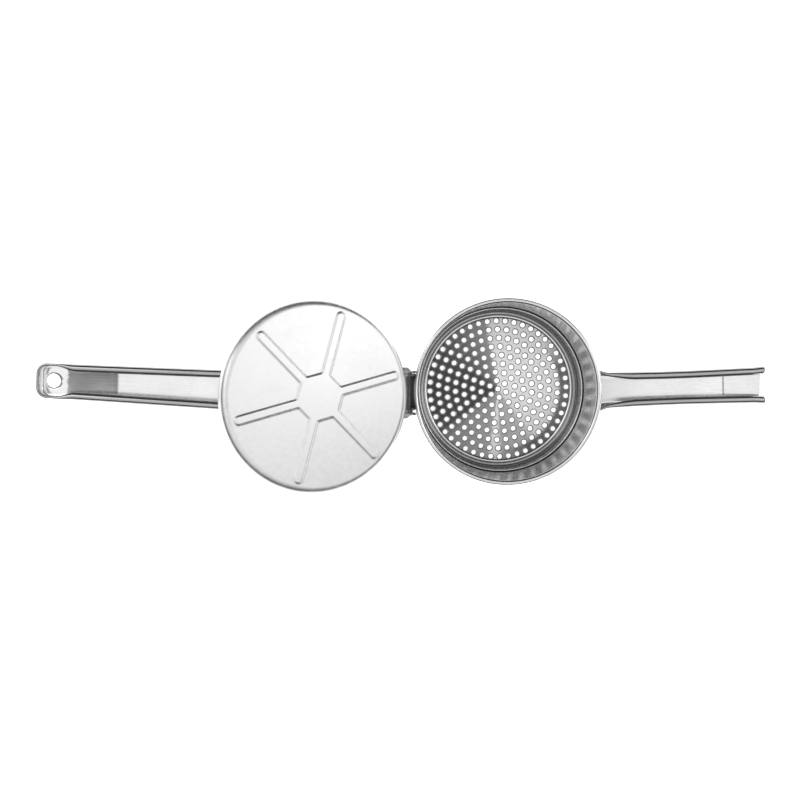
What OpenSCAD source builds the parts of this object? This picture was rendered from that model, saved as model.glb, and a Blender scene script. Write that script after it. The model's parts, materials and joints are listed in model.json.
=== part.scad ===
// Potato ricer lying open: a cup with a loose sieve, a fixed lower handle, and an upper
// handle that swings on the hinge pin and carries the tilting presser.
// Origin on the cup's axis at the table, +X along the lower handle, +Z up.

/* [Cup] */
// Inner radius of the cup
cup_r = 42; // [41.5:0.5:43]
// Height of the cup wall
cup_h = 42; // [40:1:50]
// Thickness of all sheet steel
sheet_t = 1; // [0.8:0.1:1.2]
// Radius of the rolled bead along the rim
bead_r = 1.2; // [1:0.1:1.4]
// Width of the inward ledge that carries the sieve
ledge_w = 4; // [3:0.5:5]

/* [Sieve] */
// Gap between the sieve and the cup wall
sieve_gap = 0.3; // [0.2:0.05:0.4]
// Thickness of the sieve sheet
sieve_t = 0.7; // [0.6:0.1:1]
// Height of the sieve's upright wall
sieve_wall_h = 12; // [8:1:13]
// Diameter of one sieve hole
hole_d = 2.4; // [2:0.1:3]
// Distance from one ring of holes to the next
hole_pitch = 4.45; // [4:0.05:4.5]
// Number of rings of holes around the middle hole
hole_rings = 8; // [4:1:8]
// Angle of the first spoke of holes
hole_turn = 39.4; // [0:0.2:60]

/* [Hinge] */
// Distance from the cup's axis to the hinge pin
hinge_x = 49.6; // [49:0.1:51]
// Height of the hinge pin above the cup wall
hinge_rise = 9.8; // [9:0.2:12]
// Diameter of both pins
pin_d = 5; // [4:0.5:5]
// Radial clearance of each pin in its bores
pin_fit = 0.05; // [0.03:0.01:0.08]
// Half width of the upper handle at the hinge
arm_half_w = 10.1; // [9.6:0.1:10.6]

/* [Handles] */
// Length of the upper handle from the hinge pin to its tip
arm_len = 166.8; // [150:0.2:190]
// Width of the upper handle at its tip
arm_tip_w = 16; // [15:0.5:17]
// Radius of the corners at the tip
tip_corner = 4.8; // [3:0.1:7]
// Depth of both channel sections
channel_h = 12; // [10:1:12]
// Radius of the rolled lips
lip_r = 1.8; // [1.4:0.1:2]
// Lean of the upper handle's grip towards +Y
arm_lean = 2.9; // [0:0.1:3]
// Lean of the lower handle towards +Y
grip_lean = 2.1; // [0:0.1:2.5]
// Diameter of the hanging hole
hang_d = 6.6; // [5:0.2:8]
// Distance from the tip to the centre of the hanging hole
hang_in = 5.9; // [5:0.1:10]
// Distance from the cup's axis to the end of the lower handle
grip_end_x = 128.5; // [110:0.5:140]
// Width of the lower handle
grip_w = 17.6; // [16:0.2:18]
// Height of the lower handle's floor above the table
grip_z = 13; // [10:1:16]

/* [Presser] */
// Outer radius of the presser plate
presser_r = 39.4; // [39:0.1:40]
// Height of the presser's rim
presser_h = 6; // [5:1:12]
// Radius of the presser's rounded edge
presser_edge_r = 3; // [2:0.1:3]
// Distance from the pivot pin down to the presser's face
presser_drop = 40; // [39:0.5:42]
// Offset of the pivot pin from the line of the upper handle
pivot_offset = 7.8; // [7:0.1:8]
// Tilt of the presser towards the hinge when it hangs free
presser_tilt = 25.3; // [20:0.1:27]
// Angle of the first rib on the presser's face
rib_turn = 14.4; // [0:0.2:60]
// Height of the ribs above the face
rib_h = 0.5; // [0.3:0.1:0.8]

/* [Hidden] */
$fn = 96;

eps = 0.5;
pin_r = pin_d / 2;
bore_r = pin_r + pin_fit;
side_gap = 0.05;
washer_t = 0.4;
cup_out_r = cup_r + sheet_t;
rim_r = cup_r + bead_r;
pin_z = cup_h + hinge_rise;

// Stack across each pin: outer wall, washer, inner wall
arm_in_w = arm_half_w - sheet_t;
clevis_w = arm_in_w - washer_t - 2 * side_gap;
clevis_in_w = clevis_w - sheet_t;
head_r = 4;
head_t = 1.5;
washer_r = 4.6;
sleeve_r = 3.6;

// Sieve
sieve_z = sheet_t + 0.05;
sieve_r = cup_r - sieve_gap;
sieve_mid_r = sieve_r - 2.2;

// Floor of the lower handle, which curls up at the end
curl_len = 16;
curl_rise = 6;

// Upper handle, along u from the hinge pin; its floor ramps up to a flat tab at the tip
arm_floor = 7;
ramp_u = 131;
tab_u = 155;
tab_rise = 6;
lean_u = 56;
arm_straight = 62;
arm_mid_u = 82;
arm_mid_half = 9.1;
arm_tip_half = arm_tip_w / 2;
corner_u = arm_len - tip_corner;
corner_v = arm_tip_half - tip_corner;
floor_start = 8.5;
knuckle_r = 6.6;
ear_r = 4.6;
ear_base = 13;
pivot_u = hinge_x;
arm_top = channel_h - arm_floor;

// Lower handle
flare_half = 11.6;
flare_len = 8;
grip_half = grip_w / 2;
saddle_angle = 17;
saddle_low = 8;
saddle_high = 32;
bracket_angle = 15;
bracket_low = 22;
bracket_high = 39;

// Presser
hub_r = 8.8 / cos(30);
rib_len = 35;
rib_w = 2.7;
presser_foot = 15;
bracket_ear_r = 5;

// A straight bar with round ends, from a to b along x
module slot_shape(a, b, w) {
    translate([a, -w / 2]) square([b - a, w]);
    translate([a, 0]) circle(d = w);
    translate([b, 0]) circle(d = w);
}

// A wedge that spreads either side of the direction dir, as seen from above
module sector(half, dir, z0, z1) {
    reach = 80;
    rotate([0, 0, dir]) translate([0, 0, z0]) linear_extrude(z1 - z0)
        polygon([[0, 0], [reach * cos(half), -reach * sin(half)],
            [reach * cos(half), reach * sin(half)]]);
}

// A flat plate drawn in the x-z plane, from y0 to y1
module side_plate(y0, y1) {
    translate([0, y1, 0]) rotate([90, 0, 0]) linear_extrude(y1 - y0) children();
}

// A round bar along y, centred on the x-z origin
module cross_bar(r, y0, y1) {
    translate([0, y1, 0]) rotate([90, 0, 0]) cylinder(r = r, h = y1 - y0);
}

// Both sides of a pair of plates or washers
module both_sides() {
    children();
    mirror([0, 1, 0]) children();
}

// The upper handle's place, with u along its length and w up
module at_arm() {
    translate([-hinge_x, 0, pin_z]) mirror([1, 0, 0]) children();
}

// Leans the upper handle's grip from the point where its straight front part ends
module leaning() {
    translate([lean_u, 0, 0]) rotate([0, 0, arm_lean]) translate([-lean_u, 0, 0])
        children();
}

// Leans the lower handle from the cup's wall
module at_grip() {
    translate([cup_out_r, 0, grip_z]) rotate([0, 0, grip_lean])
        translate([-cup_out_r, 0, 0]) children();
}

// The pivot pin's place at rest
module at_pivot() {
    at_arm() translate([pivot_u, 0, pivot_offset]) children();
}

// The presser's place at rest, tilted towards the hinge, face up
module at_presser() {
    at_pivot() rotate([0, -presser_tilt, 0]) children();
}

module cup_shell() {
    color("gainsboro") rotate_extrude() union() {
        translate([cup_r, 0]) square([sheet_t, cup_h - bead_r]);
        translate([cup_r - ledge_w, 0]) square([ledge_w + eps, sheet_t]);
        translate([rim_r, cup_h - bead_r]) circle(r = bead_r);
    }
}

module sieve_plate() {
    color("silver") difference() {
        translate([0, 0, sieve_z]) cylinder(r = sieve_mid_r, h = sieve_t);
        translate([0, 0, sieve_z - eps]) linear_extrude(sieve_t + 2 * eps) {
            circle(d = hole_d);
            for (ring = [1:hole_rings], i = [0:6 * ring - 1])
                rotate(hole_turn + i * 60 / ring)
                    translate([ring * hole_pitch, 0]) circle(d = hole_d);
        }
    }
}

module sieve_ring() {
    color("silver") translate([0, 0, sieve_z]) rotate_extrude() union() {
        translate([sieve_r - sieve_t, 0]) square([sieve_t, sieve_wall_h]);
        translate([sieve_mid_r, 0]) square([sieve_r - sieve_mid_r, sieve_t]);
    }
}

// Outline of the lower handle, grown or shrunk by side
module grip_outline(side, reach) {
    start = cup_r;
    polygon([[start, -flare_half + side], [cup_out_r + flare_len, -grip_half + side],
        [grip_end_x + reach, -grip_half + side], [grip_end_x + reach, grip_half - side],
        [cup_out_r + flare_len, grip_half - side], [start, flare_half - side]]);
}

// Side view of the space above the lower handle's floor, raised by lift
module above_curl(lift) {
    slope = curl_rise / curl_len;
    polygon([[0, lift - 1], [grip_end_x - curl_len - 1 / slope, lift - 1],
        [grip_end_x + 1, lift + curl_rise + slope], [grip_end_x + 1, channel_h + 2],
        [0, channel_h + 2]]);
}

// The lower handle's outline, shrunk by side, cut to the space above its floor
module grip_block(side, reach, lift, height) {
    intersection() {
        translate([0, 0, lift]) linear_extrude(height) grip_outline(side, reach);
        side_plate(-2 * grip_half, 2 * grip_half) above_curl(lift);
    }
}

module lower_handle() {
    lip_x = cup_out_r + flare_len;
    lip_y = grip_half - lip_r;
    color("gainsboro") difference() {
        at_grip() union() {
            difference() {
                grip_block(0, 0, 0, channel_h - lip_r);
                grip_block(sheet_t, eps, sheet_t, channel_h);
            }
            both_sides() translate([lip_x, lip_y, channel_h - lip_r])
                rotate([0, 90, 0]) cylinder(r = lip_r, h = grip_end_x - lip_x);
            both_sides() linear_extrude(channel_h - lip_r)
                polygon([[cup_r, flare_half - 2 * sheet_t], [cup_r, flare_half],
                    [lip_x + eps, grip_half], [lip_x + eps, grip_half - 2 * sheet_t]]);
        }
        translate([0, 0, grip_z - eps])
            cylinder(r = cup_out_r + sheet_t, h = channel_h + 2 * eps);
    }
}

module handle_saddle() {
    color("gainsboro") intersection() {
        rotate_extrude() translate([cup_out_r, saddle_low])
            square([sheet_t, saddle_high - saddle_low]);
        sector(saddle_angle, 0, 0, cup_h);
    }
}

// Side view of one hinge bracket cheek
module bracket_cheek() {
    polygon([[-cup_r, bracket_low], [-cup_r - 5, bracket_low],
        [-hinge_x - 5.2, pin_z - 4], [-hinge_x, pin_z], [-hinge_x + 4, pin_z - 3],
        [-cup_r - 2, bracket_high + 3], [-cup_r, bracket_high]]);
    translate([-hinge_x, pin_z]) circle(r = 5);
}

// The sloping web that joins the two cheeks along their outer edge
module bracket_web() {
    polygon([[-cup_r, bracket_low], [-cup_r - 5, bracket_low],
        [-hinge_x - 5.2, pin_z - 9], [-hinge_x - 4, pin_z - 9],
        [-cup_r - 4.4, bracket_low + sheet_t], [-cup_r, bracket_low + sheet_t]]);
}

module hinge_bracket() {
    color("lightgray") difference() {
        union() {
            both_sides() side_plate(clevis_in_w, clevis_w) bracket_cheek();
            side_plate(-clevis_w, clevis_w) bracket_web();
            intersection() {
                rotate_extrude() translate([cup_out_r, bracket_low])
                    square([sheet_t, bracket_high - bracket_low]);
                sector(bracket_angle, 180, 0, cup_h);
            }
        }
        cylinder(r = cup_out_r, h = pin_z);
        translate([0, 0, bracket_high]) cylinder(r = rim_r + bead_r + 0.3, h = 5);
        translate([-hinge_x, 0, pin_z]) cross_bar(bore_r, -arm_half_w, arm_half_w);
    }
}

// A riveted pin with a coned head on each side
module rivet_pin() {
    inside = arm_half_w + side_gap;
    cross_bar(pin_r, -inside - eps, inside + eps);
    both_sides() translate([0, inside, 0]) rotate([-90, 0, 0])
        cylinder(r1 = head_r, r2 = head_r - head_t, h = head_t);
}

// A washer between the outer and inner walls, on the side given
module pin_washer(side) {
    mirror([0, side < 0 ? 1 : 0, 0]) difference() {
        cross_bar(washer_r, clevis_w + side_gap, arm_in_w - side_gap);
        cross_bar(bore_r, 0, arm_half_w);
    }
}

// The tube that keeps the inner walls apart
module pin_sleeve() {
    half = clevis_in_w - side_gap;
    difference() {
        cross_bar(sleeve_r, -half, half);
        cross_bar(bore_r, -arm_half_w, arm_half_w);
    }
}

module hinge_pin() {
    color("darkgray") at_arm() rivet_pin();
}

module hinge_washer_front() {
    color("gray") at_arm() pin_washer(-1);
}

module hinge_washer_back() {
    color("gray") at_arm() pin_washer(1);
}

module hinge_sleeve() {
    color("gray") at_arm() pin_sleeve();
}

// Outline of the upper handle seen from above, shrunk by side
module arm_outline(side) {
    front_w = 2 * (arm_half_w - side);
    translate([0, -front_w / 2]) square([lean_u + eps, front_w]);
    leaning() {
        polygon([[lean_u, -arm_half_w + side], [arm_straight, -arm_half_w + side],
            [arm_mid_u, -arm_mid_half + side], [corner_u, -arm_tip_half + side],
            [arm_len - side, -corner_v], [arm_len - side, corner_v],
            [corner_u, arm_tip_half - side], [arm_mid_u, arm_mid_half - side],
            [arm_straight, arm_half_w - side], [lean_u, arm_half_w - side]]);
        both_sides() translate([corner_u, corner_v]) circle(r = tip_corner - side);
    }
}

// Side view of the space above the upper handle's floor, raised by lift
module above_floor(lift) {
    back = (tab_u - ramp_u) / tab_rise;
    top = channel_h + 2;
    polygon([[-1, lift - 1], [ramp_u - back, lift - 1], [tab_u, tab_rise + lift],
        [arm_len + 1, tab_rise + lift], [arm_len + 1, top], [-1, top]]);
}

// The upper handle's outline, shrunk by side, cut to the space above its floor
module arm_block(side, lift) {
    intersection() {
        translate([0, 0, lift]) linear_extrude(channel_h) arm_outline(side);
        leaning() side_plate(-2 * arm_half_w, 2 * arm_half_w) above_floor(lift);
    }
}

// Rolled lip along both edges of the grip part, ending just before the flat tab
module arm_lips() {
    lean = atan((arm_mid_half - arm_tip_half) / (corner_u - arm_mid_u));
    both_sides() translate([arm_mid_u, arm_mid_half - lip_r, channel_h - lip_r])
        rotate([0, 90, -lean]) cylinder(r = lip_r, h = tab_u - 3 - arm_mid_u);
}

// Side view of the ear that holds the pivot pin
module ear_shape() {
    polygon([[pivot_u - ear_base, arm_top - 1], [pivot_u - ear_r, pivot_offset],
        [pivot_u + ear_r, pivot_offset], [pivot_u + ear_base, arm_top - 1]]);
    translate([pivot_u, pivot_offset]) circle(r = ear_r);
}

module upper_handle() {
    color("gainsboro") at_arm() difference() {
        union() {
            translate([0, 0, -arm_floor]) {
                difference() {
                    arm_block(0, 0);
                    arm_block(sheet_t, sheet_t);
                }
                leaning() arm_lips();
            }
            both_sides() side_plate(arm_in_w, arm_half_w) {
                circle(r = knuckle_r);
                ear_shape();
            }
        }
        translate([-eps, -arm_in_w, -channel_h])
            cube([floor_start + eps, 2 * arm_in_w, 3 * channel_h]);
        translate([0, -2 * arm_half_w, -2 * arm_floor])
            cube([knuckle_r / 2, 4 * arm_half_w, arm_floor * 2 - knuckle_r * 0.87]);
        cross_bar(bore_r, -2 * arm_half_w, 2 * arm_half_w);
        translate([pivot_u, 0, pivot_offset])
            cross_bar(bore_r, -2 * arm_half_w, 2 * arm_half_w);
        leaning() translate([arm_len - hang_in, 0, tab_rise - arm_floor - eps])
            cylinder(d = hang_d, h = sheet_t + 2 * eps);
    }
}

module pivot_pin() {
    color("darkgray") at_pivot() rivet_pin();
}

module pivot_washer_front() {
    color("gray") at_pivot() pin_washer(-1);
}

module pivot_washer_back() {
    color("gray") at_pivot() pin_washer(1);
}

module pivot_sleeve() {
    color("gray") at_pivot() pin_sleeve();
}

module presser_bracket() {
    foot_w = presser_drop - sheet_t;
    color("lightgray") at_presser() difference() {
        union() {
            both_sides() side_plate(clevis_in_w, clevis_w) {
                polygon([[-presser_foot, foot_w], [-presser_foot, foot_w - 3],
                    [-bracket_ear_r, 0], [bracket_ear_r, 0],
                    [presser_foot, foot_w - 3], [presser_foot, foot_w]]);
                circle(r = bracket_ear_r);
            }
            translate([-presser_foot, -clevis_w, foot_w - sheet_t])
                cube([2 * presser_foot, 2 * clevis_w, sheet_t]);
        }
        cross_bar(bore_r, -arm_half_w, arm_half_w);
    }
}

// Half section of the presser plate: face, rounded edge and rim
module presser_section() {
    corner = presser_r - presser_edge_r;
    square([corner, sheet_t]);
    translate([corner, presser_edge_r]) intersection() {
        difference() {
            circle(r = presser_edge_r);
            circle(r = presser_edge_r - sheet_t);
        }
        translate([0, -presser_edge_r]) square(presser_edge_r);
    }
    translate([presser_r - sheet_t, presser_edge_r])
        square([sheet_t, presser_h - presser_edge_r]);
}

module presser_plate() {
    color("whitesmoke") at_presser() translate([0, 0, presser_drop]) mirror([0, 0, 1]) {
        rotate_extrude() presser_section();
        translate([0, 0, -rib_h]) linear_extrude(rib_h + sheet_t / 2)
            mirror([1, 0, 0]) {
                rotate(rib_turn) circle(r = hub_r, $fn = 6);
                for (i = [0:5]) rotate(rib_turn + 60 * i)
                    slot_shape(hub_r / 2, rib_len - rib_w / 2, rib_w);
            }
    }
}

cup_shell();
sieve_plate();
sieve_ring();
lower_handle();
handle_saddle();
hinge_bracket();
hinge_pin();
hinge_washer_front();
hinge_washer_back();
hinge_sleeve();
upper_handle();
pivot_pin();
pivot_washer_front();
pivot_washer_back();
pivot_sleeve();
presser_bracket();
presser_plate();
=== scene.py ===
"""Potato ricer lying open: polished cup and handles, drilled sieve and tilting presser."""
import json
import math

import bpy
import numpy as np
from bpy.props import FloatProperty, FloatVectorProperty, IntProperty, PointerProperty
from mathutils import Matrix, Vector


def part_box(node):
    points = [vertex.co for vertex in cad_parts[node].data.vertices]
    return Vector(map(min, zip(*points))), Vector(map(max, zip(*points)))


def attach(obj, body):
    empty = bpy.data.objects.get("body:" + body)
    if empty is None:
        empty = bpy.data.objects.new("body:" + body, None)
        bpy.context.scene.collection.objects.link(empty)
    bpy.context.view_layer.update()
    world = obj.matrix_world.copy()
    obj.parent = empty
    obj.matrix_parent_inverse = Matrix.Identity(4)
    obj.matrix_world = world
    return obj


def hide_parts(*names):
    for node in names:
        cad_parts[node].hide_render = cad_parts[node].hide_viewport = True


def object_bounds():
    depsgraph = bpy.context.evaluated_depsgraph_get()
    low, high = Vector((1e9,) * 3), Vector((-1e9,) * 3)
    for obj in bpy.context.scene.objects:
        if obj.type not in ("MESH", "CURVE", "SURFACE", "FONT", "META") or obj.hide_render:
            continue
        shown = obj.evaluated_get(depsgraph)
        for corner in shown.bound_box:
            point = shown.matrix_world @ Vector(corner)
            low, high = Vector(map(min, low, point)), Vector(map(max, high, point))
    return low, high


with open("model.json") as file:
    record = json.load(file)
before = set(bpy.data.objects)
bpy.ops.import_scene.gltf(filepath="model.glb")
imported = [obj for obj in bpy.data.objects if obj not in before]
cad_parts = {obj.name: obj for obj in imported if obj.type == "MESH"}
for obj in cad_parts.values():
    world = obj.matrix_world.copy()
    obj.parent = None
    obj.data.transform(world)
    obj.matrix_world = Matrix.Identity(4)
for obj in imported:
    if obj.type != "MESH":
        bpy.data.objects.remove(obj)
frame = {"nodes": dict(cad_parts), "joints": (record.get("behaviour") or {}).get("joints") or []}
CAD_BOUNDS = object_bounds()

bl_info = {
    "name": "Potato ricer",
    "version": (1, 0, 0),
    "blender": (4, 5, 0),
    "location": "View3D > Sidebar > Ricer",
    "description": "Builds the finished surfaces of a potato ricer around its CAD frame",
    "category": "Add Mesh",
}

JOINTS = {joint["name"]: joint for joint in frame["joints"]}
PIN = np.array(JOINTS["arm_swing"]["pos_m"])
PIVOT = np.array(JOINTS["presser_level"]["pos_m"])
TILT = math.radians(JOINTS["presser_level"]["range_deg"][1])
_, CUP_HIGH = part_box("cup_shell")
_, SIEVE_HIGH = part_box("sieve_plate")
RING_LOW, RING_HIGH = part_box("sieve_ring")
GRIP_LOW, GRIP_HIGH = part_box("lower_handle")
ARM_LOW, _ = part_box("upper_handle")

SIXTH = math.pi / 3
ABOVE_ZERO = 1e-4
LINE_DEPTH = 0.00001


def metres(name, about, default):
    """A length that a user may change, shown in the scene's own unit."""
    return FloatProperty(name=name, description=about, default=default, min=0.0,
                         precision=4, unit="LENGTH", subtype="DISTANCE")


def angle(name, about, default):
    """An angle that a user may change, given here in degrees."""
    return FloatProperty(name=name, description=about, default=math.radians(default),
                         unit="ROTATION", subtype="ANGLE")


def share(name, about, default):
    """A value from 0 to 1 that a user may change."""
    return FloatProperty(name=name, description=about, default=default, min=0.0, max=1.0,
                         subtype="FACTOR")


def colour(name, about, default):
    """A linear colour that a user may change."""
    return FloatVectorProperty(name=name, description=about, default=default, size=3,
                               min=0.0, max=1.0, subtype="COLOR")


class RicerSizes(bpy.types.PropertyGroup):
    """Sizes of the finished surfaces."""
    sheet: metres("Sheet", "Thickness of the steel sheet", 0.001)
    bead: metres("Rim bead", "Radius of the rolled bead along the rim", 0.0012)
    ledge: metres("Ledge", "Width of the ledge that carries the sieve", 0.004)
    foot_round: metres("Foot radius", "Radius of the cup's lower outer edge", 0.0022)
    sieve_sheet: metres("Sieve sheet", "Thickness of the sieve sheet", 0.0007)
    sieve_bead: metres("Sieve bead", "Radius of the round bead about the sieve", 0.001)
    hole: metres("Hole", "Diameter of one sieve hole", 0.0024)
    hole_pitch: metres("Hole pitch", "Distance between rings of holes", 0.00445)
    hole_burr: metres("Hole burr", "Height of the rounded burr about a hole", 0.00022)
    hole_rings: IntProperty(name="Hole rings", description="Rings of holes about the middle",
                            default=8, min=1)
    hole_turn: angle("Hole turn", "Direction of the first spoke of holes", 39.4)
    channel: metres("Channel", "Depth of both handles", 0.012)
    lip: metres("Lip", "Radius of the rolled lips", 0.0018)
    corner: metres("Corner", "Outer radius of the channel's lower edges", 0.0026)
    arm_half: metres("Arm half width", "Half width of the upper handle at the hinge", 0.0101)
    arm_mid: metres("Arm middle", "Half width where the rolled lips begin", 0.0091)
    arm_tip: metres("Arm tip", "Half width of the upper handle at its tip", 0.008)
    arm_length: metres("Arm length", "From the hinge pin to the tip", 0.1668)
    arm_lean: angle("Arm lean", "Sideways lean of the upper grip", 2.9)
    tip_corner: metres("Tip corner", "Radius of the corners at the tip", 0.0048)
    ramp: metres("Ramp", "From the hinge pin to where the floor begins to climb", 0.131)
    tab: metres("Tab", "From the hinge pin to where the floor is level again", 0.155)
    hang_in: metres("Hole inset", "From the tip to the hanging hole's centre", 0.0059)
    hang_hole: metres("Hanging hole", "Diameter of the hanging hole", 0.0066)
    tab_rise: metres("Tab rise", "Height that the floor climbs to the tip's tab", 0.006)
    grip_half: metres("Grip half width", "Half width of the lower handle", 0.0088)
    grip_flare: metres("Grip flare", "Half width of the lower handle at the cup", 0.0116)
    grip_lean: angle("Grip lean", "Sideways lean of the lower handle", 2.1)
    end_rise: metres("End rise", "Height that the lower handle's floor curls up", 0.006)
    presser: metres("Presser", "Outer radius of the presser", 0.0394)
    presser_edge: metres("Presser edge", "Radius of the presser's rounded edge", 0.003)
    presser_rim: metres("Presser rim", "Height of the presser's rim", 0.006)
    presser_drop: metres("Presser drop", "From the pivot pin to the presser's face", 0.04)
    rib_height: metres("Rib height", "Height of the star above the face", 0.0005)
    rib_width: metres("Rib width", "Width of one rib", 0.0027)
    rib_length: metres("Rib length", "From the centre to a rib's end", 0.035)
    rib_turn: angle("Rib turn", "Direction of the first rib", 14.4)
    hub: metres("Hub", "Distance from the centre to a hub edge", 0.0088)


class RicerLooks(bpy.types.PropertyGroup):
    """Colours and finishes."""
    steel: colour("Polished steel", "Colour of the polished sheet", (0.93, 0.93, 0.93))
    # The lips' darker colour is painted shade on the same steel; the upper handle also takes it
    # near the cup.
    lips: colour("Lips", "Darker colour of the rolled lips, painted shade", (0.46, 0.46, 0.46))
    satin: colour("Satin steel", "Colour of the presser's face", (0.88, 0.88, 0.88))
    # The sieve's lightest and darkest tones are the two ends of its painted reflections.
    sieve_painted_highlight: colour("Sieve light", "Lightest tone of the turned sieve", (1.0, 1.0, 1.0))
    sieve_painted_shade: colour("Sieve dark", "Darkest tone of the turned sieve", (0.03, 0.03, 0.03))
    # The pins' dark colour is painted shade on steel.
    pins: colour("Pins", "Colour of the pins and washers", (0.2, 0.2, 0.2))
    # The cup's walls are darkened as painted shade, and its rim is lightened as a painted
    # highlight.
    cup: colour("Cup steel", "Colour of the cup's walls", (0.52, 0.52, 0.52))
    rim: colour("Rim steel", "Brighter colour of the cup's rolled rim", (0.92, 0.92, 0.92))
    # The sieve's wall is darkened as painted shade; its bead and top edge are lightened as painted
    # highlights.
    ring: colour("Sieve wall", "Colour of the sieve's wall", (0.30, 0.30, 0.30))
    ring_painted_highlight: colour("Sieve edges", "Colour of the sieve's bead and top edge",
                      (0.96, 0.96, 0.96))
    # The burrs are darkened as painted shade about each hole.
    burrs: colour("Burrs", "Colour of the burrs about the holes", (0.38, 0.38, 0.38))
    # The brackets' dark colour is painted shade on steel.
    brackets_painted_shade: colour("Brackets", "Colour of the hinge bracket and saddle", (0.24, 0.24, 0.24))
    presser_bracket: colour("Presser bracket", "Colour of the bracket behind the presser",
                            (0.66, 0.66, 0.66))
    polish: share("Polish", "Roughness of the polished sheet", 0.16)
    satin_rough: share("Satin", "Roughness of the presser", 0.34)
    floor: colour("Floor", "Colour of the floor", (1.0, 1.0, 1.0))


def sizes():
    return bpy.context.scene.ricer_sizes


def looks():
    return bpy.context.scene.ricer_looks


# Surfaces ---------------------------------------------------------------------------------

def smooth_step(low, high, value):
    """0 below low, 1 above high, and 3t^2 - 2t^3 between them."""
    t = np.clip((value - low) / (high - low), 0.0, 1.0)
    return t * t * (3.0 - 2.0 * t)


def grid_quads(rows, columns, wrap_rows=False, wrap_columns=False):
    """Corner numbers of every cell of a grid of rows by columns points."""
    i = np.arange(rows if wrap_rows else rows - 1)
    j = np.arange(columns if wrap_columns else columns - 1)
    i, j = np.meshgrid(i, j, indexing="ij")
    k, m = (i + 1) % rows, (j + 1) % columns
    cells = [i * columns + j, k * columns + j, k * columns + m, i * columns + m]
    return np.stack(cells, -1).reshape(-1, 4)


def put_mesh(name, points, quads, uv, body, slot, material):
    """Makes one object: points that coincide become one vertex, and a quad that has lost a
    corner becomes a triangle. uv has one row for each point."""
    keys = np.round(points * 1e7).astype(np.int64)
    _, first, number = np.unique(keys, axis=0, return_index=True, return_inverse=True)
    number = number.reshape(-1)
    cells = number[quads]
    same = cells == np.roll(cells, -1, axis=1)
    lost = same.sum(1)
    whole = lost == 0
    start = same[lost == 1].argmax(1)[:, None]
    pick = (start + np.array([1, 2, 3])) % 4
    thirds = np.take_along_axis(cells[lost == 1], pick, 1)
    third_uv = np.take_along_axis(quads[lost == 1], pick, 1)
    corners = np.concatenate([cells[whole].reshape(-1), thirds.reshape(-1)])
    corner_uv = np.concatenate([quads[whole].reshape(-1), third_uv.reshape(-1)])
    count4, count3 = int(whole.sum()), len(thirds)
    begin = np.concatenate([np.arange(count4) * 4, 4 * count4 + np.arange(count3) * 3])
    mesh = bpy.data.meshes.new(name)
    mesh.vertices.add(len(first))
    mesh.vertices.foreach_set("co", points[first].astype(np.float32).reshape(-1))
    mesh.loops.add(len(corners))
    mesh.loops.foreach_set("vertex_index", corners.astype(np.int32))
    mesh.polygons.add(count4 + count3)
    mesh.polygons.foreach_set("loop_start", begin.astype(np.int32))
    mesh.polygons.foreach_set("use_smooth", np.ones(count4 + count3, bool))
    layer = mesh.uv_layers.new(name="UVMap")
    layer.data.foreach_set("uv", uv[corner_uv].astype(np.float32).reshape(-1))
    mesh.update(calc_edges=True)
    mesh.validate()
    piece = bpy.data.objects.new(name, mesh)
    bpy.context.scene.collection.objects.link(piece)
    mesh.materials.append(material)
    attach(piece, body)
    return piece


def join_parts(parts):
    """Puts several (points, quads, uv) parts one after another."""
    offset = np.cumsum([0] + [len(points) for points, _, _ in parts[:-1]])
    return (np.concatenate([points for points, _, _ in parts]),
            np.concatenate([quads + step for (_, quads, _), step in zip(parts, offset)]),
            np.concatenate([uv for _, _, uv in parts]))


def arc(centre, radius, start, end, count):
    """Points of a circular arc: centre + radius (cos a, sin a), a in degrees."""
    a = np.radians(np.linspace(start, end, count))
    return np.stack([centre[0] + radius * np.cos(a), centre[1] + radius * np.sin(a)], -1)


def run(*corners, count=6):
    """Points along straight stretches between the given corners, without the last one."""
    t = np.linspace(0, 1, count, endpoint=False)[:, None]
    legs = [np.array(a) * (1 - t) + np.array(b) * t for a, b in zip(corners, corners[1:])]
    return np.concatenate(legs)


def turned(profile, segments):
    """Revolves a closed (radius, height) profile about Z: (r cos a, r sin a, z). The uv runs
    round the axis and along the profile."""
    a = np.linspace(0, 2 * np.pi, segments, endpoint=False)[:, None]
    r, z = profile[:, 0][None, :], profile[:, 1][None, :]
    points = np.stack([r * np.cos(a), r * np.sin(a), z + 0 * a], -1).reshape(-1, 3)
    step = np.hypot(*np.diff(profile, axis=0, append=profile[:1]).T)
    along = np.concatenate([[0], np.cumsum(step)[:-1]])
    uv = np.stack([a / (2 * np.pi) + 0 * along, along / step.sum() + 0 * a], -1)
    quads = grid_quads(segments, len(profile), True, True)
    return points, quads, uv.reshape(-1, 2)


def cup_profile(s):
    """Section of the cup: ledge, rounded foot, outer wall, rolled bead and inner wall."""
    outer = CUP_HIGH[0] - s.bead - (s.bead - s.sheet)
    inner = outer - s.sheet
    top = CUP_HIGH[2]
    centre = (CUP_HIGH[0] - s.bead, top - s.bead)
    edge, corner, gap, step = 0.0003, 0.001, 0.0004, 0.0005
    return np.concatenate([
        arc((inner - s.ledge + edge, edge), edge, 180, 270, 4),
        run((inner - s.ledge + step, 0), (outer - s.foot_round, 0), count=5),
        arc((outer - s.foot_round, s.foot_round), s.foot_round, -90, 0, 9),
        run((outer, s.foot_round + step), (outer, top - 2.2 * s.bead), count=14),
        arc(centre, s.bead, -80, 180, 28),
        run((inner, centre[1] - gap), (inner, s.sheet + corner + gap), count=16),
        arc((inner - corner, s.sheet + corner), corner, 0, -90, 6),
        run((inner - corner - gap, s.sheet), (inner - s.ledge, s.sheet), count=4),
    ])


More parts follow.
